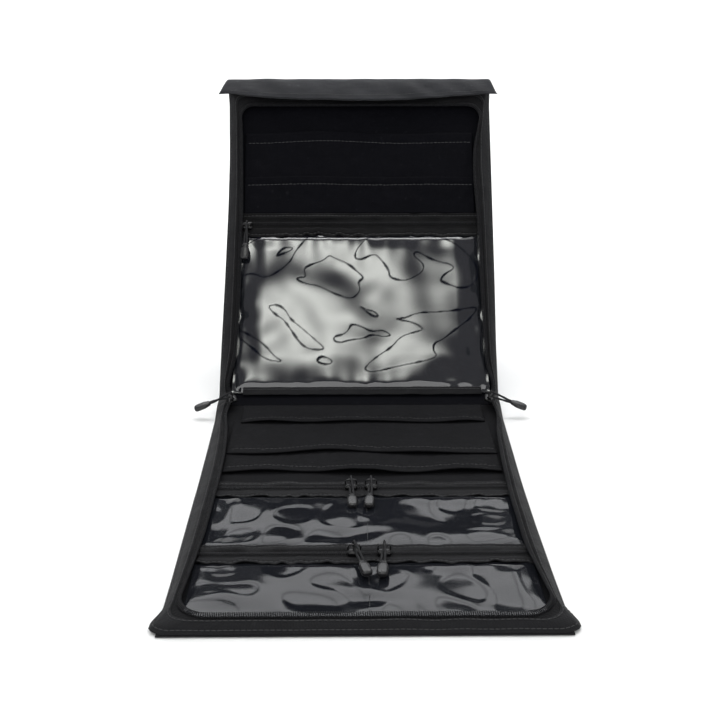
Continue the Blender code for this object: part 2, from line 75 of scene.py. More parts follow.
class Wire:
    """A shader socket that sums can be written with."""

    def __init__(self, finish, socket):
        self.finish, self.socket = finish, socket

    def reckon(self, operation, *values):
        return self.finish.node("Math", {"operation": operation}, dict(enumerate(values)))

    def __add__(self, other):
        return self.reckon("ADD", self, other)

    def __sub__(self, other):
        return self.reckon("SUBTRACT", self, other)

    def __rsub__(self, other):
        return self.reckon("SUBTRACT", other, self)

    def __mul__(self, other):
        return self.reckon("MULTIPLY", self, other)

    def __pow__(self, other):
        return self.reckon("POWER", self, other)

    __radd__, __rmul__ = __add__, __mul__

    def sine(self):
        return self.reckon("SINE", self)

    def between(self, low, high):
        """0 below low, 1 above high and smooth between them."""
        return self.finish.node("MapRange", {"interpolation_type": "SMOOTHSTEP"},
                                {"Value": self, "From Min": low, "From Max": high})


class Finish:
    """One material: its nodes are added one by one and fed to its Principled shader."""

    def __init__(self, name, **fixed):
        self.material = bpy.data.materials.new(name)
        self.material.use_nodes = True
        self.tree = self.material.node_tree
        self.shader = self.tree.nodes["Principled BSDF"]
        for socket, value in fixed.items():
            self.shader.inputs[socket.replace("_", " ")].default_value = value

    def node(self, kind, settings=None, sockets=None, result=0):
        made = self.tree.nodes.new("ShaderNode" + kind)
        for setting, value in (settings or {}).items():
            setattr(made, setting, value)
        for socket, value in (sockets or {}).items():
            if isinstance(value, Wire):
                self.tree.links.new(value.socket, made.inputs[socket])
            else:
                made.inputs[socket].default_value = value
        return Wire(self, made.outputs[result])

    def coordinate(self, kind):
        return self.node("TexCoord", result=kind)

    def noise(self, vector, scale, detail=2.0):
        return self.node("TexNoise", {}, {"Vector": vector, "Scale": scale, "Detail": detail}, "Fac")

    def mix(self, factor, first, second):
        return self.node("Mix", {"data_type": "RGBA"}, {0: factor, 6: first, 7: second}, 2)

    def feed(self, **wires):
        for socket, wire in wires.items():
            self.tree.links.new(wire.socket, self.shader.inputs[socket.replace("_", " ")])

    def bump(self, height, depth):
        sockets = {"Strength": 1.0, "Distance": depth, "Height": height}
        self.feed(Normal=self.node("Bump", {}, sockets))


def mesh_object(name, points, faces, finish, uv=None, smooth=True):
    """An object from points in the bag's frame, with a measured UV map where one is given."""
    mesh = bpy.data.meshes.new(name)
    mesh.from_pydata([tuple(p) for p in points], [], faces)
    if uv is not None:
        layer = mesh.uv_layers.new(name="measure")
        corners = np.empty(len(mesh.loops), int)
        mesh.loops.foreach_get("vertex_index", corners)
        layer.data.foreach_set("uv", np.asarray(uv, float)[corners].ravel())
    if smooth:
        mesh.shade_smooth()
    mesh.materials.append(finish.material)
    made = bpy.data.objects.new(name, mesh)
    scene.collection.objects.link(made)
    return made


paper = Finish("white_sweep", Roughness=0.6)
grain = paper.noise(paper.coordinate("Object"), 3.0)
paper.feed(Base_Color=paper.mix(grain, (0.84, 0.84, 0.84, 1), (0.88, 0.88, 0.88, 1)))
profile = [(-2.2, 0.0), (1.3, 0.0)]
profile += [(1.3 + 0.8 * sin(radians(a)), 0.8 - 0.8 * cos(radians(a))) for a in range(6, 91, 6)]
profile += [(2.1, 0.9)]
points = [(x, y, z - 0.0006) for y, z in profile for x in (-3.0, 3.0)]
faces = [(2 * i, 2 * i + 1, 2 * i + 3, 2 * i + 2) for i in range(len(profile) - 1)]
sweep = mesh_object("sweep", points, faces, paper)

scene.world = bpy.data.worlds.new("studio")
scene.world.use_nodes = True
scene.world.node_tree.nodes["Background"].inputs["Color"].default_value = (0.9, 0.95, 1.0, 1)
scene.world.node_tree.nodes["Background"].inputs["Strength"].default_value = 0.12
LAMP_SHARE = 0.33
LIGHTS = (("on_the_sweep", (0.0, 0.9, 1.9), (0, 2.1, 0.5), 2.6, 0.8, 110.0, (1.0, 1.0, 1.0)),
          ("overhead", (0.0, 0.25, 1.7), (0, 0.05, 0), 2.4, 1.2, 38.0, (1.0, 1.0, 1.0)),
          ("behind", (0.0, 1.28, 1.34), (0, 0.0, 0.0), 2.6, 0.8, 48.0, (0.97, 0.98, 1.0)),
          ("low_front", (0.0, -1.3, 0.35), (0, 0.0, 0.05), 2.6, 1.0, 44.0, (1.0, 1.0, 1.0)),
          ("left_strip", (-1.4, -0.25, 0.7), (0, 0.1, 0.05), 0.25, 1.2, 10.0, (1.0, 1.0, 1.0)),
          ("right_strip", (1.4, -0.25, 0.7), (0, 0.1, 0.05), 0.25, 1.2, 10.0, (1.0, 1.0, 1.0)))
for name, place, target, width, height, power, colour in LIGHTS:
    lamp = bpy.data.objects.new(name, bpy.data.lights.new(name, "AREA"))
    scene.collection.objects.link(lamp)
    lamp.data.shape = "RECTANGLE"
    lamp.data.size, lamp.data.size_y = width, height
    lamp.data.energy, lamp.data.color = power * LAMP_SHARE, colour
    lamp.location = place
    lamp.rotation_euler = (Vector(target) - Vector(place)).to_track_quat("-Z", "Y").to_euler()
cover = Finish("softbox_cover", Base_Color=(0, 0, 0, 1), Emission_Strength=7.2)
reach = cover.node("VectorMath", {"operation": "LENGTH"}, {0: cover.coordinate("Object")}, 1)
glow = (1.0 - reach.between(0.0, 0.62)) ** 2.0
cover.feed(Emission_Color=cover.mix(glow, (0.03, 0.03, 0.032, 1), (0.98, 1.0, 0.95, 1)))
points = [(x, y, 0.0) for x, y in ((-0.9, -0.75), (0.9, -0.75), (0.9, 0.75), (-0.9, 0.75))]
softbox = mesh_object("softbox", points, [(3, 2, 1, 0)], cover)
softbox.location = (-0.10, -0.70, 1.12)
towards_bag = Vector((0, 0.20, 0.09)) - softbox.location
softbox.rotation_euler = towards_bag.to_track_quat("-Z", "Y").to_euler()

# Outer cloth: coated nylon cut in two panels that meet in a lapped seam along the middle of the
# spine. Each panel is sewn to its walls round three sides and bends at the fold beside the spine.
SPINE = 0.036
HALF_LENGTH = 0.300
END = SPINE / 2 + HALF_LENGTH
HINGE_HEIGHT = 0.0005
FOLD_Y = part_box("lower_outer_panel")[1][1] + 0.0008
SPINE_LEAN, UPPER_LEAN = radians(12.0), radians(55.5)
BEND = 0.013


def step(value, low, high):
    t = np.clip((value - low) / (high - low), 0, 1)
    return t * t * (3 - 2 * t)


def bag(x, g, w):
    """Place of a point x across, g along from the spine's middle and w in from the outer face."""
    x, g, w = np.broadcast_arrays(np.asarray(x, float), np.asarray(g, float), np.asarray(w, float))
    up = w - HINGE_HEIGHT
    low = np.stack([x, FOLD_Y + g + SPINE / 2, HINGE_HEIGHT + up], -1)
    c, s = cos(SPINE_LEAN), sin(SPINE_LEAN)
    run = g + SPINE / 2
    mid = np.stack([x, FOLD_Y + c * run - s * up, HINGE_HEIGHT + s * run + c * up], -1)
    y, z = FOLD_Y + c * SPINE, HINGE_HEIGHT + s * SPINE
    c, s = cos(UPPER_LEAN), sin(UPPER_LEAN)
    run = g - SPINE / 2
    high = np.stack([x, y + c * run - s * up, z + s * run + c * up], -1)
    first = step(g, -SPINE / 2 - BEND, -SPINE / 2 + BEND)[..., None]
    second = step(g, SPINE / 2 - BEND, SPINE / 2 + BEND)[..., None]
    return (low * (1 - first) + mid * first) * (1 - second) + high * second


def ripple(a, b, wavelength, seed, stretch=1.0, waves=14):
    """A smooth random swell of root mean square 1, drawn from its seed."""
    draw = random.Random(seed)
    total = 0
    for _ in range(waves):
        angle, k = draw.uniform(0, 2 * pi), 2 * pi / wavelength * draw.uniform(0.7, 1.35)
        phase = draw.uniform(0, 2 * pi)
        total = total + np.sin(k * (a * cos(angle) * stretch + b * sin(angle)) + phase)
    return total * sqrt(2 / waves)


def edge_x(side, g):
    """Half width of the bag at its outer edge, which pulls in a little between the corners."""
    if side < 0:
        stops = ((-0.318, 0.1212), (-0.26, 0.1206), (-0.19, 0.1208), (-0.13, 0.1207), (-0.06, 0.1213), (0, 0.1222),
                 (0.06, 0.1211), (0.12, 0.1195), (0.19, 0.1180), (0.24, 0.1178), (0.318, 0.1200))
    else:
        stops = ((-0.318, 0.1202), (-0.26, 0.1186), (-0.19, 0.1176), (-0.13, 0.1175), (-0.06, 0.1186), (0, 0.1194),
                 (0.06, 0.1188), (0.12, 0.1196), (0.19, 0.1200), (0.24, 0.1202), (0.318, 0.1206))
    return np.interp(g, *zip(*stops))


def woven(name, dark, light, pitch=0.0009, depth=0.00012, roughness=0.78, **fixed):
    """Plain weave: a checkerboard of warp and weft crowns, streaky yarns, soft patches and wear."""
    finish = Finish(name, **{"Specular_IOR_Level": 0.14, **fixed})
    measure = finish.coordinate("UV")
    place = finish.coordinate("Object")
    across = finish.node("SeparateXYZ", {}, {0: measure}, 0)
    along = finish.node("SeparateXYZ", {}, {0: measure}, 1)
    crowns = (across * (pi / pitch)).sine() * (along * (pi / pitch)).sine()
    streaks = finish.noise(finish.node("Mapping", {}, {"Vector": measure, "Scale": (1400, 90, 1)}), 1.0)
    picks = finish.noise(finish.node("Mapping", {}, {"Vector": measure, "Scale": (90, 1400, 1)}), 1.0)
    patches = finish.noise(place, 34.0, 3.0)
    wear = finish.noise(place, 210.0, 4.0).between(0.62, 0.78)
    tone = patches * 0.45 + streaks * 0.3 + picks * 0.25 + crowns * 0.10
    cloth = finish.mix(tone.between(0.25, 0.8), (*dark, 1), (*light, 1))
    worn = tuple(c * 1.6 + 0.004 for c in light)
    finish.feed(Base_Color=finish.mix(wear * 0.45, cloth, (*worn, 1)),
                Roughness=patches * 0.16 + streaks * 0.08 + (roughness - 0.12))
    creases = finish.noise(finish.node("Mapping", {}, {"Vector": place, "Scale": (38, 70, 70)}), 1.0, 3.0)
    finish.bump(crowns * 0.5 + streaks * 0.35 + picks * 0.35 + creases * 12.0, depth)
    return finish


def normals_of(points):
    normal = np.cross(np.gradient(points, axis=1), np.gradient(points, axis=0))
    return normal / (np.linalg.norm(normal, axis=2, keepdims=True) + 1e-12)


def shell(name, points, finish, thickness):
    """A closed thin cloth from a grid of points on one face, with UVs measured across and along."""
    rows, cols = points.shape[:2]
    back = points + normals_of(points) * thickness
    run = np.cumsum(np.linalg.norm(np.diff(points[:, cols // 2], axis=0), axis=1))
    reach = np.cumsum(np.linalg.norm(np.diff(points[rows // 2], axis=0), axis=1))
    uv = np.stack(np.meshgrid(np.r_[0, reach], np.r_[0, run]), -1)
    flat = np.concatenate([points.reshape(-1, 3), back.reshape(-1, 3)])
    count = rows * cols
    index = np.arange(count).reshape(rows, cols)
    a, b = index[:-1, :-1].ravel(), index[:-1, 1:].ravel()
    c, d = index[1:, 1:].ravel(), index[1:, :-1].ravel()
    faces = np.stack([a, b, c, d], 1).tolist() + (np.stack([d, c, b, a], 1) + count).tolist()
    rim = np.concatenate([index[0], index[1:, -1], index[-1, -2::-1], index[-2:0:-1, 0]])
    turned = np.roll(rim, -1)
    faces += np.stack([rim, rim + count, turned + count, turned], 1).tolist()
    if thickness > 0:
        faces = [face[::-1] for face in faces]
    return mesh_object(name, flat, faces, finish, np.concatenate([uv.reshape(-1, 2)] * 2))


def sheet(points, rests_on):
    """Takes the steps across both diagonals of a gridded cloth's points, and does nothing further with them."""
    sides = points[1:, 1:] - points[:-1, :-1], points[1:, :-1] - points[:-1, 1:]


def fold(piece):
    """Bakes the piece's placement into its mesh; its bend at the fold is already in its points. Half -1 is the lower
    one and 1 the upper one.
    """
    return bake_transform(piece)


nylon = woven("coated_nylon", (0.006, 0.006, 0.007), (0.013, 0.013, 0.0145), Sheen_Weight=0.06)
HALVES = (("lower", -1), ("upper", 1))
for label, half in HALVES:
    g = half * np.linspace(0.0, END, 150)[:, None]
    t = np.linspace(-1, 1, 101)[None, :]
    left, right = -edge_x(-1, g), edge_x(1, g)
    x = left + (right - left) * (t + 1) / 2
    x, g = np.broadcast_arrays(x, g)
    keep = (1 - t ** 8) * step(np.abs(g), 0.0, 0.03)
    w = 0.0001 - (0.00025 * (1 + ripple(x, g, 0.09, 3 + half)) * keep if half > 0 else 0)
    rows = bag(x, g, w)
    panel = shell(label + "_outer_cloth", rows[::half], nylon, 0.0008)
    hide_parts(label + "_outer_panel")
    if half < 0:
        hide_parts("spine_outer_panel")
    fold(panel)
    sheet(rows, [label + "_stiffener_board"])

# Boards: plain white plastic sheets slipped between the outer cloth and the lining, which keep
# each half flat. Only their edges could ever be felt through the cloth.
plastic = Finish("board_plastic", Roughness=0.55)
place = plastic.coordinate("Object")
plastic.feed(Base_Color=plastic.mix(plastic.noise(place, 60.0), (0.26, 0.26, 0.26, 1), (0.33, 0.33, 0.32, 1)),
             Roughness=plastic.noise(place, 25.0) * 0.2 + 0.45)
plastic.bump(plastic.noise(place, 900.0), 0.00005)


def dress(node, finish):
    """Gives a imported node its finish."""
    materials = frame["nodes"][node].data.materials
    materials.clear()
    materials.append(finish.material)


for label, half in HALVES:
    dress(label + "_stiffener_board", plastic)

# Lining: a thin cloth over the boards and across the spine, slightly loose, with a lapped seam
# along the spine's middle. The lower half and its flaps are coloured lighter than the upper half.
lining_cloth = woven("lining_cloth", (0.0012, 0.0013, 0.0024), (0.0030, 0.0031, 0.0046), pitch=0.0007,
                     depth=0.00008, roughness=0.72, Specular_IOR_Level=0.04)
flap_cloth = woven("flap_cloth", (0.0040, 0.0040, 0.0047), (0.0092, 0.0092, 0.0105), pitch=0.0008, depth=0.00010,
                   Specular_IOR_Level=0.09)
for label, half in HALVES:
    g = half * np.linspace(0.0, END - (0.006 if half < 0 else 0.014), 150)[:, None]
    x = np.linspace(-0.1145, 0.1145, 101)[None, :]
    x, g = np.broadcast_arrays(x, g)
    w = 0.0032 + 0.00010 * (1 + ripple(x, g, 0.05, 11 + half, stretch=0.5))
    rows = bag(x, g, w)
    piece = shell(label + "_lining_cloth", rows[::half], flap_cloth if half < 0 else lining_cloth, 0.0007)
    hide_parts(label + "_lining")
    if half > 0:
        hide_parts("spine_lining")
    fold(piece)
    sheet(rows, [label + "_stiffener_board"])

# Walls and main zip: a strip of the outer cloth stands up round three sides of each half, and the
# zip's tape is sewn inside its hem. The coil runs along the tape's edge from one slider, round
# the end of the bag, to the other slider. Both sliders sit at the ends of the spine.
CHAIN_END = {-1: SPINE / 2 + 0.2925, 1: SPINE / 2 + 0.2710}
CHAIN_CORNER = {-1: 0.019, 1: 0.012}


def chain_x(side, g):
    """Half width at the coil, which swings outwards beside the folds and at the far corners."""
    if side < 0:
        stops = ((-0.318, 0.1120), (-0.298, 0.1112), (-0.25, 0.1080), (-0.22, 0.1062), (-0.14, 0.1052),
                 (-0.10, 0.1056), (-0.056, 0.1081), (-0.030, 0.1118), (-0.018, 0.1130), (0, 0.1098), (0.016, 0.1118),
                 (0.028, 0.1146), (0.042, 0.1105), (0.058, 0.1073), (0.12, 0.1060), (0.19, 0.1054), (0.26, 0.1071),
                 (0.318, 0.1110))
    else:
        stops = ((-0.318, 0.1120), (-0.298, 0.1117), (-0.235, 0.1050), (-0.165, 0.1046), (-0.11, 0.1062),
                 (-0.06, 0.1090), (-0.038, 0.1122), (-0.018, 0.1140), (0, 0.1105), (0.014, 0.1130), (0.028, 0.1146),
                 (0.045, 0.1090), (0.09, 0.1078), (0.18, 0.1062), (0.22, 0.1040), (0.245, 0.1049), (0.275, 0.1110),
                 (0.318, 0.1113))
    return np.interp(g, *zip(*stops))


def smooth_line(values, times=3):
    for _ in range(times):
        values[1:-1] = (values[:-2] + 2 * values[1:-1] + values[2:]) / 4
    return values


def rail(half, outer):
    """x and g along the U from spine to spine, on the bag's edge or on the coil's line."""
    corner = 0.004 if outer else CHAIN_CORNER[half]
    end = END - 0.0004 if outer else CHAIN_END[half]
    width = edge_x if outer else chain_x
    run = half * np.linspace(0, end - corner, 130)
    sides = {s: smooth_line(np.array(s * width(s, run)), 14) for s in (-1, 1)}
    turn = np.radians(np.linspace(0, 90, 16)[1:-1])
    x0, x1 = sides[-1][-1] + corner, sides[1][-1] - corner
    legs = [(sides[-1], run),
            (x0 - corner * np.cos(turn), half * (end - corner + corner * np.sin(turn))),
            (np.linspace(x0, x1, 90), np.full(90, half * end)),
            (x1 + corner * np.sin(turn), half * (end - corner + corner * np.cos(turn))),
            (sides[1][::-1], run[::-1])]
    xs, gs = zip(*legs)
    return np.concatenate(xs), np.concatenate(gs)


def wall_band(half, low, high, steps, lift=0.0):
    """Grid of x, g, w on the wall between two shares of the way from the bag's edge to the coil."""
    xo, go = rail(half, True)
    xi, gi = rail(half, False)
    f = np.linspace(low, high, steps)[:, None]
    x, g = xo + (xi - xo) * f, go + (gi - go) * f
    flare = step(np.abs(g), END - 0.028, END - 0.010) * (1 - step(np.abs(g), END - 0.007, END))
    ear = 0.0050 if half < 0 else 0.0008
    x = x + np.sign(x) * flare * ear * np.clip(1 - f, 0, 1) ** 1.5 * (np.abs(x) > 0.1)
    w = 0.0014 + 0.0088 * f ** 0.85 + 0.0010 * np.sin(pi * np.clip(f, 0, 1))
    w = w + 0.00022 * ripple(x, g, 0.030, 21 + half) * np.sin(pi * np.clip(f, 0.05, 0.95)) + lift
    return x, g, w, f


wall_cloth = woven("wall_cloth", (0.006, 0.006, 0.007), (0.013, 0.013, 0.0145), Sheen_Weight=0.06)
tape_cloth = woven("zip_tape", (0.0035, 0.0035, 0.0042), (0.0075, 0.0075, 0.0085), pitch=0.0012, depth=0.00018,
                   roughness=0.75)
thread = Finish("sewing_thread", Roughness=0.6)
twist = thread.coordinate("Object")
thread.feed(Base_Color=thread.mix(thread.noise(twist, 800.0), (0.009, 0.009, 0.010, 1), (0.028, 0.028, 0.030, 1)),
            Roughness=thread.noise(twist, 500.0) * 0.2 + 0.5)
coil_nylon = Finish("zip_coil", Roughness=0.35, Specular_IOR_Level=0.15)
place = coil_nylon.coordinate("Object")
coil_nylon.feed(Base_Color=coil_nylon.mix(coil_nylon.noise(place, 500.0), (0.005, 0.005, 0.006, 1),
                                          (0.013, 0.013, 0.015, 1)),
                Roughness=coil_nylon.noise(place, 160.0) * 0.2 + 0.35)


def path_frame(points):
    """Directions along a path, from its neighbours."""
    along = np.gradient(points, axis=0)
    return along / (np.linalg.norm(along, axis=1, keepdims=True) + 1e-12)


def resample(points, pitch, *others):
    """The path at even steps, and any vectors that go with its points."""
    length = np.r_[0, np.cumsum(np.linalg.norm(np.diff(points, axis=0), axis=1))]
    places = np.arange(pitch / 2, length[-1], pitch)
    return [np.stack([np.interp(places, length, values[:, k]) for k in range(3)], 1)
            for values in (points, *others)]


def upright(centre, up):
    """Directions along a path, off the cloth and across, square to one another."""
    along = path_frame(centre)
    up = up - along * np.sum(up * along, 1, keepdims=True)
    up /= np.linalg.norm(up, axis=1, keepdims=True) + 1e-12
    return along, up, np.cross(along, up)


def tube_faces(first, rings, sides):
    """Faces of a closed tube whose rings of points are numbered on from first."""
    faces = []
    for r in range(rings - 1):
        for k in range(sides):
            j, i = first + r * sides + k, first + r * sides + (k + 1) % sides
            faces.append((j, i, i + sides, j + sides))
    faces.append(tuple(first + k for k in range(sides))[::-1])
    faces.append(tuple(first + (rings - 1) * sides + k for k in range(sides)))
    return faces


def stitches(name, lines, pitch=0.0034, size=0.00030):
    """Rows of lock stitches: short spindles of thread laid on the cloth, as (path, normals) pairs."""
    verts, faces = [], []
    sides = 6
    rings = ((-0.44, 0.35, -0.35), (-0.30, 0.95, 0.25), (0.0, 1.0, 0.45), (0.30, 0.95, 0.25), (0.44, 0.35, -0.35))
    for line, normals in lines:
        centre, up = resample(line, pitch, normals)
        for c, a, u, s in zip(centre, *upright(centre, up)):
            base = len(verts)
            for run, fat, rise in rings:
                for k in range(sides):
                    angle = 2 * pi * k / sides
                    verts.append(c + a * run * pitch + u * size * (rise + fat * sin(angle) * 0.8)
                                 + s * size * fat * cos(angle))
            faces += tube_faces(base, len(rings), sides)
    return mesh_object(name, verts, faces, thread)


def coil(name, centre, up, finish, pitch=0.0013, width=0.0017, height=0.0007, wire=0.00036):
    """A row of nylon loops side by side along a path."""
    centre, up = resample(centre, pitch, up)
    verts, faces = [], []
    bow = [(-1.0, -0.5), (-0.92, 0.35), (-0.45, 0.95), (0.0, 1.0), (0.45, 0.95), (0.92, 0.35), (1.0, -0.5)]
    sides = 5
    for c, a, u, s in zip(centre, *upright(centre, up)):
        base = len(verts)
        path = np.array([c + s * width * p + u * height * q + a * pitch * 0.16 * p for p, q in bow])
        for i, point in enumerate(path):
            ahead = path[min(i + 1, len(path) - 1)] - path[max(i - 1, 0)]
            ahead /= np.linalg.norm(ahead)
            side = np.cross(ahead, a)
            for k in range(sides):
                angle = 2 * pi * k / sides
                verts.append(point + wire * 1.25 * cos(angle) * a + wire * sin(angle) * side)
        faces += tube_faces(base, len(bow), sides)
    return mesh_object(name, verts, faces, finish)


def facing(normal, points):
    """Normals turned so that they point into the open bag."""
    inward = np.array([0, -0.3, 1.0]) if points[..., 1].mean() < FOLD_Y else np.array([0, -0.8, 0.6])
    flip = np.sign(np.sum(normal * inward, -1, keepdims=True))
    return normal * np.where(flip == 0, 1, flip)


def upper_face(rows, thickness=0.0008):
    """The face of a cloth that looks into the open bag, and its normals."""
    normal = facing(normals_of(rows), rows)
    return rows + thickness * normal, normal


for label, half in HALVES:
    x, g, w, f = wall_band(half, 0.0, 0.66, 12)
    crease = np.zeros_like(w)
    for share in (0.16, 0.60):
        crease = crease - 0.00035 * np.exp(-((f - share) / 0.045) ** 2)
    grid = bag(x, g, w + crease)
    wall = shell(label + "_wall_cloth", grid[::half], wall_cloth, 0.0008)
    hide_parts(label + "_left_wall", label + "_right_wall", label + "_end_wall")
    if half < 0:
        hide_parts("spine_left_gusset", "spine_right_gusset")
    tape_grid = bag(*wall_band(half, 0.54, 0.985, 8, lift=-0.0011)[:3])
    tape = shell(label + "_main_tape", tape_grid[::half], tape_cloth, 0.0006)
    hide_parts(label + "_main_zip_tape")
    lines = []
    for share in (0.16, 0.60):
        xs, gs, ws, _ = wall_band(half, share - 0.02, share + 0.02, 3)
        rows = bag(xs, gs, ws - 0.0001)
        lines.append((rows[1], facing(normals_of(rows), rows)[1]))
    sewing = stitches(label + "_wall_stitching", lines)
    xs, gs, ws, _ = wall_band(half, 0.97, 1.03, 3)
    rows = bag(xs, gs, ws - 0.0004)
    chain = coil(label + "_main_coil", rows[1], facing(normals_of(rows), rows)[1], coil_nylon)
    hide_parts(label + "_main_zip_coil")
    for piece, slot in ((wall, "nylon"), (tape, "zip_tape"), (sewing, "nylon"), (chain, "zip_coil")):
        fold(piece)
    sheet(grid, [label + "_outer_cloth"])
    sheet(tape_grid, [label + "_wall_cloth"])

# Top flap: the upper half's end wall is cut deep, folded down over the zip's far run and hemmed.
# Its stiff hem stands off the coil, waves a little and ends in a pointed ear at each side.
# Painted light: the flap is the walls' nylon, coloured lighter to stand in for the overhead light that its upturned
# face catches.
lit_top_flap_nylon = woven("top_flap_cloth_painted_lighter", (0.010, 0.0104, 0.0125), (0.027, 0.028, 0.032), Sheen_Weight=0.10)
profile = np.array([(0.2996, 0.0004), (0.2994, 0.0022), (0.2984, 0.0048), (0.2966, 0.0070), (0.2940, 0.0088),
                    (0.2905, 0.0104), (0.2865, 0.0118), (0.2822, 0.0131), (0.2780, 0.0142), (0.2742, 0.0150),
                    (0.2724, 0.0153)])
u = np.linspace(-1, 1, 121)[None, :]
down = np.linspace(0, 1, len(profile))[:, None]
left = np.interp(down, (0, 0.08, 0.2, 1), (0.1120, 0.1175, 0.1205, 0.1285))
right = np.interp(down, (0, 0.08, 0.2, 1), (0.1170, 0.1188, 0.1198, 0.1272))
x = np.where(u < 0, u * left, u * right)
v = profile[:, :1] + 0 * u
w = profile[:, 1:] + 0 * u
wave = ripple(x, 0 * x, 0.11, 5) * 0.0011 + ripple(x, 0 * x, 0.05, 8) * 0.0004
v = v - down ** 2 * wave + down ** 2 * 0.0078 * np.abs(u) ** 2.2
w = w + down * wave * 0.7 - down * (0.0014 * u ** 2 + 0.0030 * np.abs(u) ** 8)
w = w + 0.0006 * ripple(x + 1.2 * v, 0.7 * v, 0.034, 6) * np.sin(pi * np.clip(down * 0.85, 0, 1))
w = w - 0.00035 * np.exp(-((down - 0.83) / 0.03) ** 2)
g = SPINE / 2 + v
top_flap = shell("upper_top_flap", bag(x, g, w), lit_top_flap_nylon, -0.0009)
rows = bag(x, g, w)
face, normal = upper_face(rows, 0.0009)
hem = stitches("upper_top_flap_stitching", [(face[8, 4:-4], normal[8, 4:-4])])
for piece in (top_flap, hem):
    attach(piece, "upper_half")
sheet(rows, ["upper_wall_cloth"])

# Lower flaps: three hemmed strips of the lower lining's cloth lie over one another like tiles. Each
# is sewn down along its back edge and sides, and its free edge, to the front, gapes and waves.
def hemmed(name, g_back, g_front, heights, gape, seed, x_left, x_right, finish, body,
           hem=0.0085, bend=None, front_shape=None, replace=()):
    """A flap from its back seam to its free hemmed edge; gape is the lift of the edge along x."""
    slack, rows_along = 0.4, 34
    u = np.linspace(0, 1, 161)[None, :]
    t = np.linspace(0, 1, rows_along)[:, None]
    x = x_left + (x_right - x_left) * u + 0 * t
    sides = 1 - (2 * u - 1) ** 10
    front = g_front + (front_shape(x) if front_shape else 0)
    g = g_back + (front - g_back) * t
    swell = 0.5 + 0.5 * ripple(x, 0.4 * g, 0.075, seed)
    w = heights[0] + (heights[1] - heights[0]) * t ** 0.8
    w = w + gape * step(t, 0.25, 1.0) * np.clip(swell, -0.2, 1.9) * sides
    w = w + 0.00030 * ripple(x, g, 0.016, seed + 1, stretch=1.5) * t * (1 - t) * 4 * slack
    length = abs(g_front - g_back)
    row = 1 - hem / length
    away = (t - row) * length
    w = w - 0.00045 * np.exp(-(away / 0.0011) ** 2)
    w = w + 0.00030 * ripple(x, 0 * x, 0.0085, seed + 2) * np.exp(-(away / 0.0034) ** 2) * (0.3 + slack)
    rows = bag(x, g, w)
    cloth = shell(name, rows if g_front > g_back else rows[::-1], finish, 0.0008)
    k = int(round(row * (rows_along - 1)))
    face, normal = upper_face(rows, 0.00075)
    sewing = stitches(name + "_stitching", [(face[k, 2:-2], normal[k, 2:-2])])
    for piece in (cloth, sewing):
        if bend:
            fold(piece)
        else:
            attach(piece, body)
    if replace:
        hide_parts(*replace)
    sheet(rows, [body.split("_")[0] + "_lining_cloth"])


hemmed("lower_fold_flap_cloth", -0.002, -0.0335, (0.0050, 0.0062), 0.0018, 31, -0.0985, 0.1020,
       flap_cloth, "lower_half", hem=0.0080, bend=-1, replace=["lower_fold_flap"],
       front_shape=lambda x: -0.0010 * ripple(x, 0 * x, 0.10, 33))
hemmed("lower_pocket_flap_1_cloth", -0.026, -0.0905, (0.0047, 0.0060), 0.0021, 41, -0.1045, 0.1045,
       flap_cloth, "lower_half", replace=["lower_pocket_flap_1"],
       front_shape=lambda x: -0.0016 * ripple(x, 0 * x, 0.12, 43))
hemmed("lower_pocket_flap_2_cloth", -0.078, -0.1215, (0.0045, 0.0056), 0.0015, 51, -0.1045, 0.1045,
       flap_cloth, "lower_half", replace=["lower_pocket_flap_2"],
       front_shape=lambda x: -0.0018 * ripple(x, 0 * x, 0.13, 54))

# Slip pockets: two hemmed strips of lining cloth across the upper half, open at the top, the
# lower strip in front of the taller one. Both are sewn in with the zip below them.
hemmed("upper_slip_pocket_1_cloth", SPINE / 2 + 0.167, SPINE / 2 + 0.2445, (0.0046, 0.0049), 0.0006,
       61, -0.1035, 0.1035, lining_cloth, "upper_half", replace=["upper_slip_pocket_1"],
       front_shape=lambda x: -0.0008 * ripple(x, 0 * x, 0.12, 63))
hemmed("upper_slip_pocket_2_cloth", SPINE / 2 + 0.1668, SPINE / 2 + 0.2010, (0.0052, 0.0056), 0.0004,
       71, -0.1035, 0.1035, lining_cloth, "upper_half", hem=0.0070, replace=["upper_slip_pocket_2"],
       front_shape=lambda x: -0.0008 * ripple(x, 0 * x, 0.12, 73))

